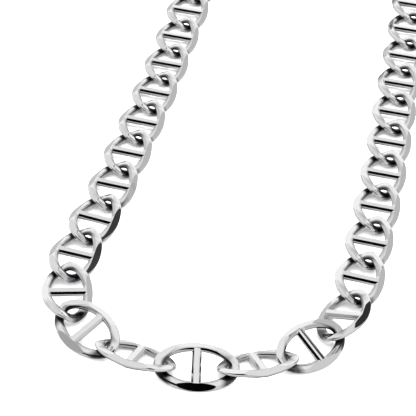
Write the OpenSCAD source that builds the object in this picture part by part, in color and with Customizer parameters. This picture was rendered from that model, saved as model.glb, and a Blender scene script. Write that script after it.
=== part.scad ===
// Mariner link chain necklace, fastened and lying flat in a long narrow loop.
// Each link is an oval ring with a bar across its middle, soldered as one solid.
// At each end of a link the ring rises on one side and dips on the other, and so it crosses
// over and under the next link's ring. On a strand link the two ends do so in opposite ways,
// and the chain lies flat. Round the front bend they do so the same way, and the links lean to
// one side and the other in turn.
// Sizes are in millimetres and angles in degrees.

/* [Links] */
// Width across one link
link_w = 9.3; // [8.5:0.1:10]
// Length of one link, end to end
link_l = 15; // [14.2:0.1:16]
// Width of the ring's wire, seen from above
wire_w = 1.65; // [1.4:0.05:1.8]
// Height of the wire at the middle of a link's long sides
side_h = 1.2; // [0.9:0.05:1.3]
// Height of the wire at a link's two ends, where it is filed thin
end_h = 0.85; // [0.6:0.05:0.9]
// Play along the chain before two meshed links pull tight
link_play = 0.75; // [0.5:0.05:0.9]
// Clearance between two meshed links where they cross
link_gap = 0.18; // [0.14:0.01:0.22]

/* [Cross bars] */
// Width of the bar across a link
bar_w = 1.8; // [1.2:0.05:2]
// Height of the bar
bar_h = 1; // [0.7:0.05:1.1]
// Width of the flat along the top of the bar
bar_top_w = 0.9; // [0.5:0.05:0.95]

/* [Wire edges] */
// Width of the slanted cut along the outer top edge, at the middle of a long side
crescent_w = 0.95; // [0.7:0.05:1]
// Width of the same cut at a link's two ends
end_cut_w = 0.7; // [0.5:0.05:0.9]
// Width that the rounded inner and lower edges take from the flat
edge_w = 0.5; // [0.3:0.05:0.6]

/* [Clasp] */
// Length of the clasp's barrel
barrel_l = 8; // [6:0.5:12]
// Radius of the clasp's barrel
barrel_r = 1.8; // [1.4:0.1:2]
// Length of the neck between the barrel and each eye
neck_l = 0.8; // [0.5:0.1:1.5]
// Radius of the neck
neck_r = 0.6; // [0.5:0.05:0.9]
// Width of the clasp's eyes, from face to face
eye_t = 1; // [0.8:0.1:1.2]
// Radius of the hole in each eye
eye_hole_r = 1.5; // [1.4:0.05:1.7]
// Wall round each eye's hole
eye_wall = 0.7; // [0.6:0.05:0.8]

/* [Hidden] */
link_count = 40;
front_link = 20;

// The loop's plan, from the middle of the front link round to the right and back.
// The points are chosen by hand, and the loop is scaled to the chain's own length.
route_points = [
    [0.6, 0.3], [11.2, 4.6], [19.6, 10.8], [23.7, 19.4], [25, 30], [25.5, 41], [25.8, 56], [25.9, 71],
    [25.8, 86], [25.7, 101], [25.6, 116], [25.4, 131], [25.3, 146], [25.2, 160], [24.8, 172],
    [22.2, 183.5], [15.5, 192], [6.5, 196.4], [-4.5, 196.4], [-13.5, 192], [-20.2, 183.5],
    [-22.8, 172], [-23.2, 160], [-23.3, 146], [-23.3, 131], [-23.4, 116], [-23.5, 101],
    [-23.6, 86], [-24, 71], [-24.5, 56], [-25.1, 41], [-26.6, 27], [-26.7, 15], [-21.3, 4.7],
    [-10.8, 0.6]
];

// How the links that aren't plain strand links lie: a link's number from the front link, then
// its lean as a share of lean_angle, and the twist and the bow of its ends as shares of lift.
// Twist lifts opposite sides of the two ends, and bow the same side of both.
pose_at = 0;
pose_lean = 1;
pose_twist = 2;
pose_bow = 3;
link_poses = [
    [-2, 1, 0, 0.3],
    [-1, -1, 0, -0.3],
    [0, 1, 0, 0.3],
    [1, -1, 0, -0.3],
    [2, 1, 0, 0.3],
    [3, -1, 0, -0.3],
    [20, 1, 0, 0.3]
];
strand_pose = [0, 0, -1, 0];
front_first = -2;
front_last = 3;

// The ring's oval runs straighter from its sides to its ends than an ellipse, whose power is 2.
oval_power = 1.85;
// The ring's wire has six sides, and as many stretches round its oval as ring_steps.
ring_steps = 16;
wire_sides = 6;
// Shares of the half length and half width over which the ring's ends rise to their full lift
rise_share_l = 0.6;
rise_share_w = 0.4;
// Lift and lean, as shares of what the wire's height asks for where two rings cross
lift_share = 1.25;
lean_share = 1.12;
// Number of links over which the strand rises to a raised stretch
rise_links = 7;

half_l = (link_l - wire_w) / 2;
half_w = (link_w - wire_w) / 2;
pitch = link_l - 2 * wire_w - link_play;

// Two meshed rings cross half a pitch from each link's middle.
cross_y = half_w * pow(1 - pow(pitch / 2 / half_l, oval_power), 1 / oval_power);
cross_h = wire_height(cross_y);
lift = lift_share * (cross_h + link_gap) / 2;
lean_angle = asin(lean_share * (cross_h + link_gap) / (2 * cross_y));

// Heights of the links' middles above the surface that the chain lies on
front_z = -min([for (p = link_points(pose_of(0))) p[2]]);
strand_z = -min([for (p = link_points(strand_pose)) p[2]]);

// The clasp takes its stretch of the loop between the end links' inner ends.
eye_reach = eye_hole_r + eye_wall;
eye_x = barrel_l / 2 + neck_l + eye_reach;
end_reach = half_l - pitch / 2;
clasp_pitch = 2 * (eye_x + end_reach);
loop_l = link_count * pitch + clasp_pitch;

function wire_height(y) = end_h + (side_h - end_h) * pow(abs(y) / half_w, 2);
function unit(v) = v / norm(v);
function clip(v, limit) = max(-limit, min(limit, v));
function last(list) = list[len(list) - 1];

// A point of the ring's middle line, and the direction that faces outward there
function signed_pow(v, power) = sign(v) * pow(abs(v), power);
function ring_mid(t) = [
    half_l * signed_pow(cos(t), 2 / oval_power),
    half_w * signed_pow(sin(t), 2 / oval_power)
];
function ring_out(m) = unit([
    signed_pow(m[0] / half_l, oval_power - 1) / half_l,
    signed_pow(m[1] / half_w, oval_power - 1) / half_w
]);

// The wire's outline at one place of the ring, as [outward, up]
function wire_outline(m) =
    let (h = wire_height(m[1]) / 2)
    let (cut = end_cut_w + (crescent_w - end_cut_w) * abs(m[1]) / half_w)
    [
        [wire_w / 2, 0],
        [wire_w / 2 - cut, h],
        [edge_w - wire_w / 2, h],
        [-wire_w / 2, 0],
        [edge_w - wire_w / 2, -h],
        [wire_w / 2 - edge_w, -h]
    ];

// Lifts a point of a flat link by its twist and bow, and turns it about the link's length
function ease(v) = sin(90 * clip(v, 1));
function bent(p, pose) =
    let (along = ease(p[0] / (rise_share_l * link_l / 2)))
    let (across = ease(p[1] / (rise_share_w * link_w / 2)))
    let (z = p[2] + lift * across * (pose[pose_twist] * along + pose[pose_bow] * abs(along)))
    let (angle = pose[pose_lean] * lean_angle)
    [p[0], p[1] * cos(angle) - z * sin(angle), p[1] * sin(angle) + z * cos(angle)];

// All corners of one ring
function link_points(pose) = [
    for (i = [0 : ring_steps - 1])
        let (m = ring_mid(360 * i / ring_steps), out = ring_out(m))
        for (c = wire_outline(m)) bent([m[0] + c[0] * out[0], m[1] + c[0] * out[1], c[1]], pose)
];

link_faces = [
    for (i = [0 : ring_steps - 1], j = [0 : wire_sides - 1])
        let (i2 = (i + 1) % ring_steps, j2 = (j + 1) % wire_sides)
        let (a = i * wire_sides + j, b = i * wire_sides + j2)
        let (c = i2 * wire_sides + j2, d = i2 * wire_sides + j)
        each [[a, b, c], [a, c, d]]
];

// The loop as a smooth closed curve through its points
route_n = len(route_points);
route_steps = 8;
function route_at(i) = route_points[(i + route_n) % route_n];
function route_span(i) = norm(route_at(i + 1) - route_at(i));
function route_slope(i) =
    let (before = route_span(i - 1), after = route_span(i))
    ((route_at(i + 1) - route_at(i)) * before / after
        + (route_at(i) - route_at(i - 1)) * after / before) / (before + after);
function route_curve(i, t) =
    let (span = route_span(i), p = route_at(i), q = route_at(i + 1))
    p * (1 + 2 * t) * (1 - t) * (1 - t) + q * t * t * (3 - 2 * t)
        + span * route_slope(i) * t * (1 - t) * (1 - t)
        - span * route_slope(i + 1) * t * t * (1 - t);
raw_route = [
    for (i = [0 : route_n - 1], k = [0 : route_steps - 1]) route_curve(i, k / route_steps),
    route_points[0]
];
function lengths_from(list, i, sum) = i >= len(list) ? [] :
    let (next = i == 0 ? 0 : sum + norm(list[i] - list[i - 1]))
    concat([next], lengths_from(list, i + 1, next));
raw_lengths = lengths_from(raw_route, 0, 0);
route_scale = loop_l / last(raw_lengths);
route_x = [for (i = [0 : len(raw_route) - 1]) [raw_lengths[i], raw_route[i][0]] * route_scale];
route_y = [for (i = [0 : len(raw_route) - 1]) [raw_lengths[i], raw_route[i][1]] * route_scale];
function on_route(s) =
    let (around = s < 0 ? s + loop_l : (s > loop_l ? s - loop_l : s))
    [lookup(around, route_x), lookup(around, route_y)];

// Where a link lies: k counts from the front link, negative on the left strand
function link_from(k) = on_route((k - 0.5) * pitch);
function link_to(k) = on_route((k + 0.5) * pitch);
function heading(from, to) = atan2(to[1] - from[1], to[0] - from[0]);
function link_mid(k) = (link_from(k) + link_to(k)) / 2;
function link_heading(k) = heading(link_from(k), link_to(k));
function poses_of(k) = [for (row = link_poses) if (row[pose_at] == k) row];
function pose_of(k) = len(poses_of(k)) > 0 ? poses_of(k)[0] : strand_pose;

// The front links and the two end links lie higher, and the strands rise towards them.
first_k = 1 - front_link;
last_k = link_count - front_link;
function links_away(k) = max(0, min(max(front_first - k, k - front_last), k - first_k, last_k - k));
function rise(k) = max(0, 1 - links_away(k) / rise_links);
function link_z(k) = strand_z + (front_z - strand_z) * rise(k);

// A point of link k in the plan of the whole chain
function to_plan(p, mid, angle, z) = [
    mid[0] + p[0] * cos(angle) - p[1] * sin(angle),
    mid[1] + p[0] * sin(angle) + p[1] * cos(angle),
    p[2] + z
];
function placed_points(k) = [
    for (p = link_points(pose_of(k))) to_plan(p, link_mid(k), link_heading(k), link_z(k))
];

clasp_from = link_to(last_k);
clasp_to = link_from(first_k);
clasp_mid = (clasp_from + clasp_to) / 2;
clasp_heading = heading(clasp_from, clasp_to);
barrel_corners = [
    for (x = [-barrel_l / 2, barrel_l / 2], y = [-barrel_r, barrel_r])
        to_plan([x, y, 0], clasp_mid, clasp_heading, eye_reach)
];

// The origin is under the middle of the whole necklace.
all_points = concat([for (k = [first_k : last_k]) each placed_points(k)], barrel_corners);
all_x = [for (p = all_points) p[0]];
all_y = [for (p = all_points) p[1]];
plan_mid = [(min(all_x) + max(all_x)) / 2, (min(all_y) + max(all_y)) / 2, 0];

link_names = [for (i = [1 : link_count]) str("link_", i < 10 ? "0" : "", i)];
smooth = 48;

module cross_bar() {
    wall = bar_h / 6;
    rotate([90, 0, 0])
        linear_extrude(height = 2 * half_w, center = true)
            polygon([
                [-bar_w / 2, -wall],
                [-bar_top_w / 2, -bar_h / 2],
                [bar_top_w / 2, -bar_h / 2],
                [bar_w / 2, -wall],
                [bar_w / 2, wall],
                [bar_top_w / 2, bar_h / 2],
                [-bar_top_w / 2, bar_h / 2],
                [-bar_w / 2, wall]
            ]);
}

module chain_link(k) {
    pose = pose_of(k);
    color("#e4e5e8")
        translate(concat(link_mid(k), link_z(k)) - plan_mid)
            rotate([0, 0, link_heading(k)])
                union() {
                    polyhedron(link_points(pose), link_faces);
                    rotate([pose[pose_lean] * lean_angle, 0, 0]) cross_bar();
                }
}

module clasp_eye() {
    rotate([90, 0, 0])
        difference() {
            cylinder(h = eye_t, r = eye_reach, center = true, $fn = smooth);
            cylinder(h = 2 * eye_t, r = eye_hole_r, center = true, $fn = smooth);
        }
}

module clasp_barrel() {
    round_r = barrel_r / 3;
    rotate([0, 90, 0])
        rotate_extrude($fn = smooth)
            union() {
                translate([0, -barrel_l / 2])
                    square([barrel_r - round_r, barrel_l]);
                translate([0, round_r - barrel_l / 2])
                    square([barrel_r, barrel_l - 2 * round_r]);
                for (side = [-1, 1])
                    translate([barrel_r - round_r, side * (barrel_l / 2 - round_r)])
                        circle(r = round_r, $fn = smooth);
            }
}

module clasp_neck() {
    rotate([0, 90, 0])
        cylinder(h = 2 * (eye_x - eye_hole_r - eye_wall / 2), r = neck_r, center = true, $fn = smooth);
}

module clasp() {
    color("#dcdde0")
        translate(concat(clasp_mid, eye_reach) - plan_mid)
            rotate([0, 0, clasp_heading])
                union() {
                    clasp_barrel();
                    clasp_neck();
                    translate([eye_x, 0, 0]) clasp_eye();
                    translate([-eye_x, 0, 0]) clasp_eye();
                }
}

for (i = [1 : link_count])
    chain_link(i - front_link);
clasp();
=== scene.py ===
"""A polished silver mariner link chain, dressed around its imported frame.

Sizes are in millimetres until the last step of each piece, which brings its mesh to metres.
The studio is in metres.
"""

from collections import namedtuple
from math import asin, atan2, copysign, cos, hypot, pi, radians, sin, tan

import bmesh
import bpy
from mathutils import Matrix, Vector


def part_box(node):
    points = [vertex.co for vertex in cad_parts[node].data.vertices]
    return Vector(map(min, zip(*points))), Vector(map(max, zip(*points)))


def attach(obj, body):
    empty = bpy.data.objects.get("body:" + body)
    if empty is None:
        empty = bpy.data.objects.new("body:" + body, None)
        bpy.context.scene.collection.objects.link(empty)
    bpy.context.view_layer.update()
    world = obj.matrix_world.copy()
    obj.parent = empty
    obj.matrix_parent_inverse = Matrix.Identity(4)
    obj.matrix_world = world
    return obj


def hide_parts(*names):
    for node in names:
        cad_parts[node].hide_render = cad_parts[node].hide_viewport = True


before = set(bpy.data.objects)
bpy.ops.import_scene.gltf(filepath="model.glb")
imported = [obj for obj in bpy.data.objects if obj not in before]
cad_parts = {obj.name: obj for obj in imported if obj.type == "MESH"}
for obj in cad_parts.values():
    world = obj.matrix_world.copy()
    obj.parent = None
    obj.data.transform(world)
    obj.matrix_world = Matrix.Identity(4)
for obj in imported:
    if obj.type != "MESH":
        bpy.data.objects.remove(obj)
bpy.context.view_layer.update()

MM = 0.001
UP = Vector((0, 0, 1))

# The links, with the sizes that part.scad gives them
LINK_COUNT = 40
FRONT_LINK = 20
LINK_W = 9.3
LINK_L = 15.0
WIRE_W = 1.65
SIDE_H = 1.2
END_H = 0.85
LINK_PLAY = 0.75
LINK_GAP = 0.18
OVAL_POWER = 1.85
LIFT_SHARE = 1.25
LEAN_SHARE = 1.12
RISE_SHARE_L = 0.6
RISE_SHARE_W = 0.4

# The clasp, a plain barrel with an eye at each end
BARREL_L = 8.0
BARREL_R = 1.8
NECK_L = 0.8
NECK_R = 0.6
EYE_T = 1.0
EYE_HOLE_R = 1.5
EYE_WALL = 0.7

# The loop's plan, from the middle of the front link round to the right and back
ROUTE = [
    (0.6, 0.3), (11.2, 4.6), (19.6, 10.8), (23.7, 19.4), (25, 30), (25.5, 41), (25.8, 56),
    (25.9, 71), (25.8, 86), (25.7, 101), (25.6, 116), (25.4, 131), (25.3, 146), (25.2, 160),
    (24.8, 172), (22.2, 183.5), (15.5, 192), (6.5, 196.4), (-4.5, 196.4), (-13.5, 192),
    (-20.2, 183.5), (-22.8, 172), (-23.2, 160), (-23.3, 146), (-23.3, 131), (-23.4, 116),
    (-23.5, 101), (-23.6, 86), (-24, 71), (-24.5, 56), (-25.1, 41), (-26.6, 27), (-26.7, 15),
    (-21.3, 4.7), (-10.8, 0.6),
]
ROUTE_STEPS = 8

# Links are counted from the front link, which is 0, round to the right.
FIRST_LINK = 1 - FRONT_LINK
LAST_LINK = LINK_COUNT - FRONT_LINK
# One that lies in the middle of the left strand
STRAND_LINK = -10

# How a link lies: which way it leans, how far it is twisted, and how far it is bowed. The
# front links and the last one lean with the loop's inner or outer side up. The others are
# twisted, so that the strands lie flat.
Pose = namedtuple("Pose", "lean twist bow")
STRAND_POSE = Pose(0, -1, 0)
INNER_UP = Pose(1, 0, 0.3)
OUTER_UP = Pose(-1, 0, -0.3)
LINK_POSES = {
    -2: INNER_UP, -1: OUTER_UP, 0: INNER_UP, 1: OUTER_UP, 2: INNER_UP, 3: OUTER_UP,
    20: INNER_UP,
}

# Half the length and width of the ring's middle line, and the way from link to link
HALF_L = (LINK_L - WIRE_W) / 2
HALF_W = (LINK_W - WIRE_W) / 2
PITCH = LINK_L - 2 * WIRE_W - LINK_PLAY


def wire_height(y):
    """The wire's height where the ring's middle line is y from the link's long axis."""
    return END_H + (SIDE_H - END_H) * (abs(y) / HALF_W) ** 2


# Where two links cross, and how far they rise or lean to pass each other there
CROSS_Y = HALF_W * (1 - (PITCH / 2 / HALF_L) ** OVAL_POWER) ** (1 / OVAL_POWER)
CROSS_H = wire_height(CROSS_Y)
LIFT = LIFT_SHARE * (CROSS_H + LINK_GAP) / 2
LEAN = asin(LEAN_SHARE * (CROSS_H + LINK_GAP) / (2 * CROSS_Y))


# The ring's own shape

def signed_power(value, power):
    """A power of a value's size, with the value's sign."""
    return copysign(abs(value) ** power, value)


def ring_middle(turn):
    """A point of the ring's middle line."""
    return Vector((
        HALF_L * signed_power(cos(turn), 2 / OVAL_POWER),
        HALF_W * signed_power(sin(turn), 2 / OVAL_POWER),
    ))


def ring_outward(middle):
    """The direction that faces away from the link's middle, at a point of the middle line."""
    return Vector((
        signed_power(middle.x / HALF_L, OVAL_POWER - 1) / HALF_L,
        signed_power(middle.y / HALF_W, OVAL_POWER - 1) / HALF_W,
    )).normalized()


def ring_share(x, y):
    """How far out a point lies: 0 in the link's middle, and 1 on the ring's middle line."""
    powers = (abs(x) / HALF_L) ** OVAL_POWER + (abs(y) / HALF_W) ** OVAL_POWER
    return powers ** (1 / OVAL_POWER)


def ease(share):
    """A rise from -1 to 1 that slows down towards both."""
    return sin(pi / 2 * max(-1, min(1, share)))


def ring_lift(x, y, pose):
    """How far the twist and bow raise a point of a flat link."""
    along = ease(x / (RISE_SHARE_L * LINK_L / 2))
    across = ease(y / (RISE_SHARE_W * LINK_W / 2))
    return LIFT * across * (pose.twist * along + pose.bow * abs(along))


# The loop's route

def route_curve():
    """The loop as a dense closed line through its points, with smooth slopes."""
    points = [Vector(point) for point in ROUTE]
    count = len(points)
    spans = [(points[(i + 1) % count] - points[i]).length for i in range(count)]
    slopes = []
    for i, point in enumerate(points):
        before, after = spans[i - 1], spans[i]
        ahead = (points[(i + 1) % count] - point) * before / after
        behind = (point - points[i - 1]) * after / before
        slopes.append((ahead + behind) / (before + after))
    line = []
    for i, start in enumerate(points):
        end, span = points[(i + 1) % count], spans[i]
        for step in range(ROUTE_STEPS):
            gone = step / ROUTE_STEPS
            line.append(
                start * (1 + 2 * gone) * (1 - gone) ** 2 + end * gone * gone * (3 - 2 * gone)
                + slopes[i] * span * gone * (1 - gone) ** 2
                - slopes[(i + 1) % count] * span * gone * gone * (1 - gone)
            )
    return line + [points[0]]


EYE_REACH = EYE_HOLE_R + EYE_WALL
EYE_X = BARREL_L / 2 + NECK_L + EYE_REACH
LOOP_L = LINK_COUNT * PITCH + 2 * (EYE_X + HALF_L - PITCH / 2)
raw_line = route_curve()
raw_lengths = [0.0]
for here, there in zip(raw_line, raw_line[1:]):
    raw_lengths.append(raw_lengths[-1] + (there - here).length)
ROUTE_SCALE = LOOP_L / raw_lengths[-1]


def on_route(length):
    """The point of the loop at a length along it."""
    length = (length % LOOP_L) / ROUTE_SCALE
    for i in range(1, len(raw_lengths)):
        if length <= raw_lengths[i]:
            share = (length - raw_lengths[i - 1]) / (raw_lengths[i] - raw_lengths[i - 1])
            return raw_line[i - 1].lerp(raw_line[i], share) * ROUTE_SCALE
    return raw_line[-1] * ROUTE_SCALE


def node_name(link):
    return f"link_{link + FRONT_LINK:02d}"


def link_ends(link):
    """The two points of the loop between which a link lies."""
    return on_route((link - 0.5) * PITCH), on_route((link + 0.5) * PITCH)


def node_middle(node):
    """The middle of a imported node's box."""
    low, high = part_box(node)
    return (low + high) / 2 / MM


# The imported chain's origin, in the route's plan: a strand link's box has the link's middle
strand_start, strand_end = link_ends(STRAND_LINK)
PLAN_MIDDLE = (strand_start + strand_end) / 2 - node_middle(node_name(STRAND_LINK)).xy


def laid_between(start, end, node, mesh):
    """Lays a mesh made at the origin along +X between two points, as low as its node lies."""
    middle, along = (start + end) / 2 - PLAN_MIDDLE, end - start
    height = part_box(node)[0].z / MM - min(v.co.z for v in mesh.vertices)
    place = Matrix.Translation((middle.x, middle.y, height))
    mesh.transform(place @ Matrix.Rotation(atan2(along.y, along.x), 4, "Z"))
    mesh.transform(Matrix.Scale(MM, 4))


# The links' fine shape

RING_STEPS = 160
SECTION_STEPS = 40
# The powers of the wire's round section: outside, inside and underneath
OUTER_POWER = 2.6
INNER_POWER = 2.3
UNDER_POWER = 2.6
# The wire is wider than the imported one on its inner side: a little all round, and more at a
# link's ends. A higher END_POWER keeps that closer to the tips.
END_WIDER = 0.33
END_POWER = 18
SIDE_WIDER = 0.05
# The crescent filed on each long side is a plane, which leans out and falls with the twist.
# On a leaning link the lower side's crescent is the wider one, and leans less.
CRESCENT_W = 1.2
CRESCENT_W_LOWER = 1.72
CRESCENT_W_UPPER = 1.02
CRESCENT_LEAN = 0.5
CRESCENT_LOWER_LEAN = 0.4
CRESCENT_FALL = 0.22
# Where an end rises, it is filed level, a little lower towards the tip and the outer side,
# and deeper on a leaning link.
LEVEL_DEPTH = 0.1
LEVEL_DEPTH_LEANING = 0.14
LEVEL_TIP = 0.1
LEVEL_LEAN = 0.06
LEVEL_FROM = 0.1
# The round that the polishing wheel leaves on a filed edge
FILED_ROUND = 0.06
FILED_STEPS = 2
# The bar has a flat top, steep flanks and upright edges, and sits low in the ring.
BAR_W = 1.7
BAR_H = 1.24
BAR_TOP_W = 0.98
BAR_EDGE_H = 0.42
BAR_DROP = 0.04
BAR_ROOT = 0.35
BAR_ROUND = 0.06
BAR_STEPS = 4

# How close a vertex lies to a plane that it is on, and the lengths that are merged away
FLAT_FIT = 0.004
DOUBLE = 0.0001
TINY_EDGE = 0.01
# A face with more corners than this is taken for a flat.
FEW_CORNERS = 8
# The angle over which a filed edge is rounded, and the angles over which an edge is shaded
# sharp, beside a flat and elsewhere
ROUNDED_ANGLE = radians(20)
FILED_ANGLE = radians(3)
SHARP_ANGLE = radians(35)


def round_section(bm):
    """A circle of radius 1 that stands across Y, from which a wire is spun."""
    section = bmesh.ops.create_circle(bm, segments=SECTION_STEPS, radius=1)["verts"]
    bmesh.ops.rotate(bm, verts=section, cent=(0, 0, 0), matrix=Matrix.Rotation(pi / 2, 3, "X"))
    return section


def spin_round(bm, steps):
    """Spins all that there is once round Z, into a closed ring that faces outwards."""
    bmesh.ops.spin(
        bm, geom=bm.verts[:] + bm.edges[:], cent=(0, 0, 0), axis=UP, angle=2 * pi,
        steps=steps, use_merge=True,
    )
    bmesh.ops.remove_doubles(bm, verts=bm.verts, dist=DOUBLE)
    bmesh.ops.recalc_face_normals(bm, faces=bm.faces)


def round_edges(bm, edges, radius, steps):
    bmesh.ops.bevel(
        bm, geom=edges, offset=radius, offset_type="OFFSET", segments=steps, profile=0.5,
        affect="EDGES", clamp_overlap=True, material=-1,
    )


def wire_ring(pose):
    """The bent ring of round-edged wire, before it is filed."""
    bm = bmesh.new()
    # It is spun as a plain round ring first, and each vertex then takes its place in the link.
    plain_radius = 2
    bmesh.ops.translate(bm, verts=round_section(bm), vec=(plain_radius, 0, 0))
    spin_round(bm, RING_STEPS)
    for vert in bm.verts:
        turn = atan2(vert.co.y, vert.co.x)
        out, up = hypot(vert.co.x, vert.co.y) - plain_radius, vert.co.z
        middle = ring_middle(turn)
        power = UNDER_POWER if up < 0 else (OUTER_POWER if out > 0 else INNER_POWER)
        wider = SIDE_WIDER + (END_WIDER - SIDE_WIDER) * cos(turn) ** END_POWER
        reach = WIRE_W / 2 + (wider if out < 0 else 0)
        out = signed_power(out, 2 / power) * reach
        up = signed_power(up, 2 / power) * wire_height(middle.y) / 2
        spot = middle + ring_outward(middle) * out
        vert.co = (spot.x, spot.y, up + ring_lift(spot.x, spot.y, pose))
    return bm


def file_flat(bm, point, normal):
    """Files the ring down to a plane, where it stands out of it."""
    bmesh.ops.bisect_plane(
        bm, geom=bm.verts[:] + bm.edges[:] + bm.faces[:], dist=FLAT_FIT,
        plane_co=point, plane_no=normal,
    )
    for vert in bm.verts:
        proud = (vert.co - point).dot(normal)
        if proud > -FLAT_FIT:
            vert.co -= normal * proud


def filed_planes(pose):
    """Each filed plane as a point and a normal: a crescent on either long side, and the ends
    that rise."""
    planes = []
    for side in (-1, 1):
        filed_w, slope = CRESCENT_W, CRESCENT_LEAN
        if side * pose.lean > 0:
            filed_w = CRESCENT_W_UPPER
        elif side * pose.lean < 0:
            filed_w, slope = CRESCENT_W_LOWER, CRESCENT_LOWER_LEAN
        edge = side * (HALF_W + WIRE_W / 2 - filed_w)
        fall = CRESCENT_FALL * side * pose.twist
        planes.append(((0, edge, SIDE_H / 2), (-fall, side * slope, 1)))
        for end in (-1, 1):
            x, y = end * PITCH / 2, side * CROSS_Y
            rise = ring_lift(x, y, pose)
            if rise > LEVEL_FROM:
                depth = LEVEL_DEPTH_LEANING if pose.lean else LEVEL_DEPTH
                top = CROSS_H / 2 + rise - depth
                planes.append(((x, y, top), (end * LEVEL_TIP, side * LEVEL_LEAN, 1)))
    return [(Vector(point), Vector(normal).normalized()) for point, normal in planes]


def lies_on(face, point, normal):
    return all(abs((vert.co - point).dot(normal)) < FLAT_FIT for vert in face.verts)


def beside_flat(edge):
    """Whether an edge bounds a flat."""
    return any(len(face.verts) > FEW_CORNERS for face in edge.link_faces)


def round_sharp_edges(bm, planes):
    """Makes each filed flat one face, and gives its sharp edges the polishing wheel's round."""
    for point, normal in planes:
        flat = [face for face in bm.faces if lies_on(face, point, normal)]
        bmesh.ops.dissolve_faces(bm, faces=flat, use_verts=False)
    bmesh.ops.dissolve_degenerate(bm, dist=TINY_EDGE, edges=bm.edges)
    bm.normal_update()
    sharp = [
        edge for edge in bm.edges
        if edge.is_manifold and edge.calc_face_angle() > ROUNDED_ANGLE and beside_flat(edge)
    ]
    round_edges(bm, sharp, FILED_ROUND, FILED_STEPS)


def cross_bar():
    """The bar, eight-sided with its edges rounded, and its ends in the ring's sides."""
    bm = bmesh.new()
    half = HALF_W - WIRE_W / 2 + BAR_ROOT
    bmesh.ops.create_cone(bm, cap_ends=True, segments=8, radius1=1, radius2=1, depth=2 * half)
    bm.transform(Matrix.Rotation(pi / 2, 4, "X") @ Matrix.Rotation(pi / 8, 4, "Z"))
    for vert in bm.verts:
        top = abs(vert.co.z) > abs(vert.co.x)
        vert.co.x = copysign(BAR_TOP_W if top else BAR_W, vert.co.x) / 2
        vert.co.z = copysign(BAR_H if top else BAR_EDGE_H, vert.co.z) / 2 - BAR_DROP
    long_edges = [e for e in bm.edges if abs(e.verts[0].co.y - e.verts[1].co.y) > half]
    round_edges(bm, long_edges, BAR_ROUND, BAR_STEPS)
    return bm


def new_object(name, bm):
    mesh = bpy.data.meshes.new(name)
    bm.to_mesh(mesh)
    bm.free()
    thing = bpy.data.objects.new(name, mesh)
    bpy.context.scene.collection.objects.link(thing)
    return thing


def soldered(name, main, others):
    """One closed body of a main piece and the others that go into it."""
    whole = new_object(name, main)
    for i, other in enumerate(others):
        part = new_object(f"{name}_{i}", other)
        join = whole.modifiers.new("solder", "BOOLEAN")
        join.operation = "UNION"
        join.solver = "EXACT"
        join.object = part
        mesh = bpy.data.meshes.new_from_object(
            whole.evaluated_get(bpy.context.evaluated_depsgraph_get())
        )
        whole.modifiers.clear()
        whole.data = mesh
        bpy.data.objects.remove(part)
    mesh = whole.data
    bpy.data.objects.remove(whole)
    return mesh


def master_link(name, pose):
    """One whole link about the origin: the filed ring, with the bar soldered across it."""
    bm = wire_ring(pose)
    planes = filed_planes(pose)
    for point, normal in planes:
        file_flat(bm, point, normal)
    round_sharp_edges(bm, planes)
    mesh = soldered(name, bm, [cross_bar()])
    mark_dullness_and_shade(mesh, pose)
    mesh.transform(Matrix.Rotation(pose.lean * LEAN, 4, "X"))
    return mesh


# Where painted shade and duller polish of each kind start, and how fast they deepen from there:
# inside the ring, near the joint with the next link, low on the wire, and sunk under the next link
INSIDE_FROM, INSIDE_SLOPE = 0.05, 14
JOINT_FROM, JOINT_SLOPE = 0.75, 5
LOW_FROM, LOW_SLOPE = 0.15, 2.5
SUNK_FROM, SUNK_SLOPE = 0.3, 2.5
# How deep the inside counts away from the joints, and how far from the bar it starts
INSIDE_OPEN = 0.35
BAR_CLEAR = 0.1


def ramp(value, start, slope):
    """0 up to the start, and from there up to 1 along a slope."""
    return max(0, min(1, (value - start) * slope))


def mark_dullness_and_shade(mesh, pose):
    """Marks each vertex with painted shade and duller polish, where the wheel reaches less: more
    inside the ring and low on the wire than on top, and most where the next link lies against it or
    passes over."""
    dull_and_shade = mesh.attributes.new("dull_and_shade", "FLOAT", "POINT")
    for vert in mesh.vertices:
        x, y, z = vert.co
        joint = ramp(abs(x) * 2 / PITCH, JOINT_FROM, JOINT_SLOPE)
        inside = ramp(1 - ring_share(x, y), INSIDE_FROM, INSIDE_SLOPE)
        if abs(x) < BAR_W / 2 + BAR_CLEAR:
            inside = 0
        lift = ring_lift(x, y, pose)
        low = ramp((lift - z) * 2 / SIDE_H, LOW_FROM, LOW_SLOPE)
        covered = joint * ramp(-lift - y * sin(LEAN) * pose.lean, SUNK_FROM, SUNK_SLOPE)
        depth = INSIDE_OPEN + (1 - INSIDE_OPEN) * joint
        # The mark darkens the colour as painted shade, and makes the metal rougher.
        dull_and_shade.data[vert.index].value = max(inside * depth, low, covered)


def smooth_but_flats(mesh):
    """Smooth shading that leaves the filed flats flat."""
    bm = bmesh.new()
    bm.from_mesh(mesh)
    for face in bm.faces:
        face.smooth = True
    for edge in bm.edges:
        limit = FILED_ANGLE if beside_flat(edge) else SHARP_ANGLE
        edge.smooth = not (edge.is_manifold and edge.calc_face_angle() > limit)
    bm.to_mesh(mesh)
    bm.free()


# The clasp's fine shape

ROUND_STEPS = 64
BARREL_ROUND = BARREL_R / 3
BARREL_ROUND_STEPS = 6
EYE_POWER = 2.6


def rod(length, radius):
    """A round rod along Z."""
    bm = bmesh.new()
    bmesh.ops.create_cone(
        bm, cap_ends=True, segments=ROUND_STEPS, radius1=radius, radius2=radius, depth=length,
    )
    return bm


def clasp_neck():
    """The rod along X whose two ends carry the eyes."""
    bm = rod(2 * (EYE_X - EYE_HOLE_R - EYE_WALL / 2), NECK_R)
    bm.transform(Matrix.Rotation(pi / 2, 4, "Y"))
    return bm


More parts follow.
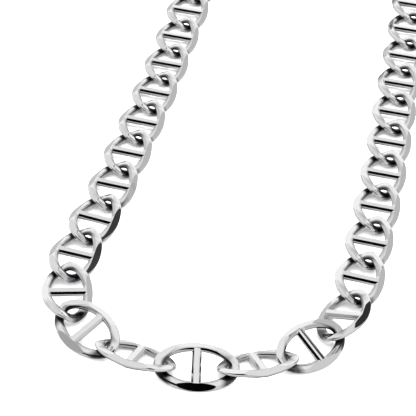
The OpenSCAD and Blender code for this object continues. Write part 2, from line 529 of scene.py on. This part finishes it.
def clasp_barrel():
    """The barrel along X, with its two rims rounded."""
    bm = rod(BARREL_L, BARREL_R)
    rims = [e for e in bm.edges if abs(e.verts[0].co.z - e.verts[1].co.z) < BARREL_L / 2]
    round_edges(bm, rims, BARREL_ROUND, BARREL_ROUND_STEPS)
    bm.transform(Matrix.Rotation(pi / 2, 4, "Y"))
    return bm


def clasp_eye(x):
    """An eye, a flat ring of round-edged wire that stands upright."""
    bm = bmesh.new()
    section = round_section(bm)
    for vert in section:
        vert.co.x = signed_power(vert.co.x, 2 / EYE_POWER) * EYE_WALL / 2
        vert.co.z = signed_power(vert.co.z, 2 / EYE_POWER) * EYE_T / 2
    bmesh.ops.translate(bm, verts=section, vec=(EYE_HOLE_R + EYE_WALL / 2, 0, 0))
    spin_round(bm, ROUND_STEPS)
    bm.transform(Matrix.Translation((x, 0, 0)) @ Matrix.Rotation(pi / 2, 4, "X"))
    return bm


def clasp_mesh():
    """The whole clasp along X, with painted shade and rougher metal where the necks lie too deep for
    the wheel.
    """
    others = [clasp_neck(), clasp_eye(EYE_X), clasp_eye(-EYE_X)]
    mesh = soldered("clasp_body", clasp_barrel(), others)
    dull_and_shade = mesh.attributes.new("dull_and_shade", "FLOAT", "POINT")
    for vert in mesh.vertices:
        beyond = abs(vert.co.x) - BARREL_L / 2
        # The necks get painted shade, and rougher metal.
        dull_and_shade.data[vert.index].value = 1.0 if 0 < beyond < NECK_L else 0.0
    return mesh


def finish_piece(name, mesh, material, node):
    """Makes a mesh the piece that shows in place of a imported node."""
    piece = bpy.data.objects.new(name, mesh)
    bpy.context.scene.collection.objects.link(piece)
    piece.data.materials.clear()
    piece.data.materials.append(material)
    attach(piece, "root")
    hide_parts(node)


# Materials

# The hairlines' spacing and length, the size of the haze's patches, and the hairlines' depth
# and strength.
# The real hairlines are some hundredths of a millimetre apart, and are drawn a few times
# coarser, so that they still show as an uneven shine.
HAIRLINE_GAP = 1 / 9
HAIRLINE_L = 1 / 3
HAZE_PATCH = 2
HAIRLINE_DEPTH = 0.01
HAIRLINE_STRENGTH = 0.04
# The middle range of the haze's noise, and what it makes of the roughness at either end
NOISE_LOW, NOISE_HIGH = 0.3, 0.7
HAZE_LOW, HAZE_HIGH = 0.6, 1.5
# How much rougher a full recess is
RECESS_ROUGHER = 0.03


def linear(hex_colour):
    """A linear colour from an sRGB hex value."""
    parts = [int(hex_colour[i:i + 2], 16) / 255 for i in (1, 3, 5)]
    return [p / 12.92 if p <= 0.04045 else ((p + 0.055) / 1.055) ** 2.4 for p in parts] + [1]


def add_node(tree, kind, links=(), **settings):
    """Adds a node, sets its values by property or socket name, and links its inputs."""
    node = tree.nodes.new(kind)
    for name, value in settings.items():
        if hasattr(node, name):
            setattr(node, name, value)
        else:
            node.inputs[name.replace("_", " ")].default_value = value
    for socket, source in dict(links).items():
        tree.links.new(source, node.inputs[socket])
    return node


def new_material(name):
    material = bpy.data.materials.new(name)
    material.use_nodes = True
    material.node_tree.nodes.clear()
    return material, material.node_tree


def polished_silver(name, bright, painted_shade_colour, roughness):
    """Sterling silver, filed, then buffed on a wheel: a clear mirror with a faint haze of
    hairlines. Where the wheel reaches less, the metal is rougher, and painted shade makes it darker."""
    material, tree = new_material(name)
    place = add_node(tree, "ShaderNodeTexCoord").outputs["Object"]
    across, along = 1 / (HAIRLINE_GAP * MM), 1 / (HAIRLINE_L * MM)
    stretch = add_node(
        tree, "ShaderNodeMapping", {"Vector": place}, Scale=(along, across, along),
    )
    hairlines = add_node(
        tree, "ShaderNodeTexNoise", {"Vector": stretch.outputs["Vector"]}, Scale=1, Detail=3,
    )
    haze = add_node(
        tree, "ShaderNodeTexNoise", {"Vector": place}, Scale=1 / (HAZE_PATCH * MM), Detail=2,
    )
    dull_and_shade = add_node(tree, "ShaderNodeAttribute", attribute_name="dull_and_shade").outputs["Fac"]
    uneven = add_node(
        tree, "ShaderNodeMapRange", {"Value": haze.outputs["Fac"]},
        From_Min=NOISE_LOW, From_Max=NOISE_HIGH,
        To_Min=roughness * HAZE_LOW, To_Max=roughness * HAZE_HIGH,
    )
    rough = add_node(
        tree, "ShaderNodeMath", {0: dull_and_shade, 2: uneven.outputs["Result"]}, operation="MULTIPLY_ADD",
    )
    rough.inputs[1].default_value = RECESS_ROUGHER
    # Painted shade: the colour darkens where the mark is high.
    colour = add_node(tree, "ShaderNodeMix", {"Factor": dull_and_shade}, data_type="RGBA")
    colour.inputs["A"].default_value = linear(bright)
    colour.inputs["B"].default_value = linear(painted_shade_colour)
    bump = add_node(
        tree, "ShaderNodeBump", {"Height": hairlines.outputs["Fac"]},
        Strength=HAIRLINE_STRENGTH, Distance=HAIRLINE_DEPTH * MM,
    )
    metal = add_node(
        tree, "ShaderNodeBsdfPrincipled",
        {"Base Color": colour.outputs["Result"], "Roughness": rough.outputs["Value"],
         "Normal": bump.outputs["Normal"]},
        Metallic=1.0,
    )
    add_node(tree, "ShaderNodeOutputMaterial", {"Surface": metal.outputs["BSDF"]})
    return material


# The second colour is painted shade, for the ring's insides, its joints and low on the wire, and for
# the clasp's necks.
silver = polished_silver("polished_sterling_silver", "#f4f4f4", "#606064", 0.05)
clasp_silver = polished_silver("polished_clasp_silver", "#efefef", "#c4c4c5", 0.07)

# The chain

masters = {}
for link in range(FIRST_LINK, LAST_LINK + 1):
    pose = LINK_POSES.get(link, STRAND_POSE)
    if pose not in masters:
        masters[pose] = master_link(f"master_{len(masters)}", pose)
        smooth_but_flats(masters[pose])
    mesh = masters[pose].copy()
    laid_between(*link_ends(link), node_name(link), mesh)
    finish_piece(f"polished_{node_name(link)}", mesh, silver, node_name(link))

clasp = clasp_mesh()
smooth_but_flats(clasp)
laid_between(link_ends(LAST_LINK)[1], link_ends(FIRST_LINK)[0], "clasp", clasp)
finish_piece("polished_clasp", clasp, clasp_silver, "clasp")


# The studio

FLOOR_SIZE = (6, 6)
UNDER_SIZE = (0.12, 0.28)
UNDER_DEPTH = 0.0005
UNDER_GLOW = 0.6
SKY_R = 5
SKY_GLOW = 0.96
ROOM_GLOW = 2.6

# The cards that the metal reflects: name, turn from +Y to +X, the heights of the lower and
# upper edge, width, the glow at the lower and upper edge, and how far off. Angles are degrees.
CARDS = [
    ("front_card", 190, 4, 69, 80, 0, 0, 1.8),
    ("low_right_dark_card", 50, -13, 20, 38, 0.03, 0.03, 1.85),
    ("low_left_dark_card", -40, -16, 6, 24, 0.03, 0.03, 1.85),
    ("top_card", 0, 62, 112, 100, 0.85, 0.7, 2.05),
    ("back_horizon_card", 2, -3, 4, 22, 0.2, 0.2, 1.85),
    ("back_card", -5, 34, 66, 60, 0.78, 0.86, 2),
    ("right_gap_card", 19, 34, 58, 7, 0.03, 0.03, 1.8),
    ("left_back_card", -58, 18, 60, 36, 0.82, 0.82, 1.95),
    ("left_card", -104, 14, 60, 50, 0.4, 0.4, 2),
    ("right_card", 54, 18, 60, 36, 0.52, 0.52, 1.95),
    ("right_dark_card", 56, 49, 60, 14, 0.04, 0.04, 1.8),
    ("right_front_card", 110, 10, 60, 60, 0.65, 0.65, 2),
]


def matte_paper(name, colour):
    """Matte white paper, which spreads the light evenly."""
    material, tree = new_material(name)
    shader = add_node(tree, "ShaderNodeBsdfPrincipled", Base_Color=linear(colour), Roughness=0.9)
    add_node(tree, "ShaderNodeOutputMaterial", {"Surface": shader.outputs["BSDF"]})
    return material


def card_face(name, glow_low, glow_high):
    """A lit card's face, shaded evenly from its lower edge to its upper one."""
    material, tree = new_material(name)
    place = add_node(tree, "ShaderNodeTexCoord").outputs["UV"]
    parts = add_node(tree, "ShaderNodeSeparateXYZ", {"Vector": place})
    glow = add_node(
        tree, "ShaderNodeMapRange", {"Value": parts.outputs["Y"]},
        To_Min=glow_low, To_Max=glow_high,
    )
    shader = add_node(tree, "ShaderNodeEmission", {"Strength": glow.outputs["Result"]})
    add_node(tree, "ShaderNodeOutputMaterial", {"Surface": shader.outputs["Emission"]})
    return material


def panel(name, place, size, aim, material):
    """A flat panel of the studio, facing the point aim, with its V towards +Z or the back."""
    bm = bmesh.new()
    bmesh.ops.create_grid(bm, x_segments=1, y_segments=1, size=0.5, calc_uvs=True)
    bmesh.ops.scale(bm, vec=(size[0], size[1], 1), verts=bm.verts)
    facing = (Vector(aim) - Vector(place)).normalized()
    turn = facing.to_track_quat("Z", "Y").to_matrix().to_4x4()
    bm.transform(Matrix.Translation(place) @ turn)
    card = new_object(name, bm)
    card.data.materials.append(material)
    return card


def leave_to_reflections(thing):
    """Hides a thing from all but the reflections in the metal."""
    thing.visible_camera = thing.visible_diffuse = thing.visible_shadow = False


def around(turn, rise, far):
    """The point that lies far from the chain's middle, turned from +Y to +X and risen, in degrees."""
    turn, rise = radians(turn), radians(rise)
    return (far * sin(turn) * cos(rise), far * cos(turn) * cos(rise), far * sin(rise))


def reflected_card(name, turn, low, high, width, glow_low, glow_high, far):
    """A card that only the polished metal sees."""
    size = (2 * far * tan(radians(width / 2)), 2 * far * tan(radians((high - low) / 2)))
    face = card_face(name, glow_low, glow_high)
    leave_to_reflections(panel(name, around(turn, (low + high) / 2, far), size, (0, 0, 0), face))


def reflected_sky(radius, glow):
    """A dome of white cloth round the table, which only the polished metal sees."""
    bm = bmesh.new()
    bmesh.ops.create_uvsphere(bm, u_segments=32, v_segments=16, radius=radius)
    dome = new_object("sky_dome", bm)
    dome.data.materials.append(card_face("white_cloth", glow, glow))
    leave_to_reflections(dome)


def soft_light(name, place, size, power):
    """A softbox that faces the chain's middle, and doesn't show in the metal."""
    light = bpy.data.lights.new(name, "AREA")
    light.shape = "RECTANGLE"
    light.size, light.size_y = size
    light.energy = power
    lamp = bpy.data.objects.new(name, light)
    lamp.location = place
    lamp.rotation_euler = (-Vector(place)).to_track_quat("-Z", "Y").to_euler()
    lamp.visible_glossy = False
    bpy.context.scene.collection.objects.link(lamp)


# The camera sees the paper, and the metal sees the card just under it: a glowing grey card, a painted
# reflection of the floor in shade.
floor = panel("floor", (0, 0, 0), FLOOR_SIZE, UP, matte_paper("white_paper", "#f6f6f6"))
floor.visible_glossy = False
under_face = card_face("under_card", UNDER_GLOW, UNDER_GLOW)
leave_to_reflections(panel("under_card", (0, 0, -UNDER_DEPTH), UNDER_SIZE, UP, under_face))
for card in CARDS:
    reflected_card(*card)
reflected_sky(SKY_R, SKY_GLOW)
soft_light("back_softbox", place=(0.05, 0.75, 0.8), size=(0.9, 0.5), power=16)
soft_light("top_softbox", place=(0, 0.1, 1.2), size=(1.2, 1.2), power=6)

world = bpy.data.worlds.new("studio")
bpy.context.scene.world = world
world.use_nodes = True
room = world.node_tree.nodes["Background"]
room.inputs["Color"].default_value = (1, 1, 1, 1)
room.inputs["Strength"].default_value = ROOM_GLOW

# The camera, whose angles are radians, fitted to the middles of the photo's cross bars

CAMERA_PLACE = Vector((26.16, -298.43, 202.86)) * MM
CAMERA_DOWN = 0.6865
CAMERA_TURN = -0.1286
CAMERA_ROLL = 0.098
FRAME_PIXELS = 416
FOCAL_PIXELS = 1654.6
SENSOR = 36
CLIP_START = 0.01

forward = Vector((
    sin(CAMERA_TURN) * cos(CAMERA_DOWN), cos(CAMERA_TURN) * cos(CAMERA_DOWN), -sin(CAMERA_DOWN),
))
level = Vector((cos(CAMERA_TURN), -sin(CAMERA_TURN), 0))
above = level.cross(forward)
right = level * cos(CAMERA_ROLL) + above * sin(CAMERA_ROLL)
camera_up = -level * sin(CAMERA_ROLL) + above * cos(CAMERA_ROLL)
camera_turned = Matrix((right, camera_up, -forward)).transposed().to_4x4()
camera_data = bpy.data.cameras.new("camera")
camera_data.sensor_width = SENSOR
camera_data.lens = SENSOR * FOCAL_PIXELS / FRAME_PIXELS
camera_data.clip_start = CLIP_START
camera = bpy.data.objects.new("camera", camera_data)
camera.matrix_world = Matrix.Translation(CAMERA_PLACE) @ camera_turned
bpy.context.scene.collection.objects.link(camera)
bpy.context.scene.camera = camera
bpy.context.scene.view_settings.view_transform = "Standard"
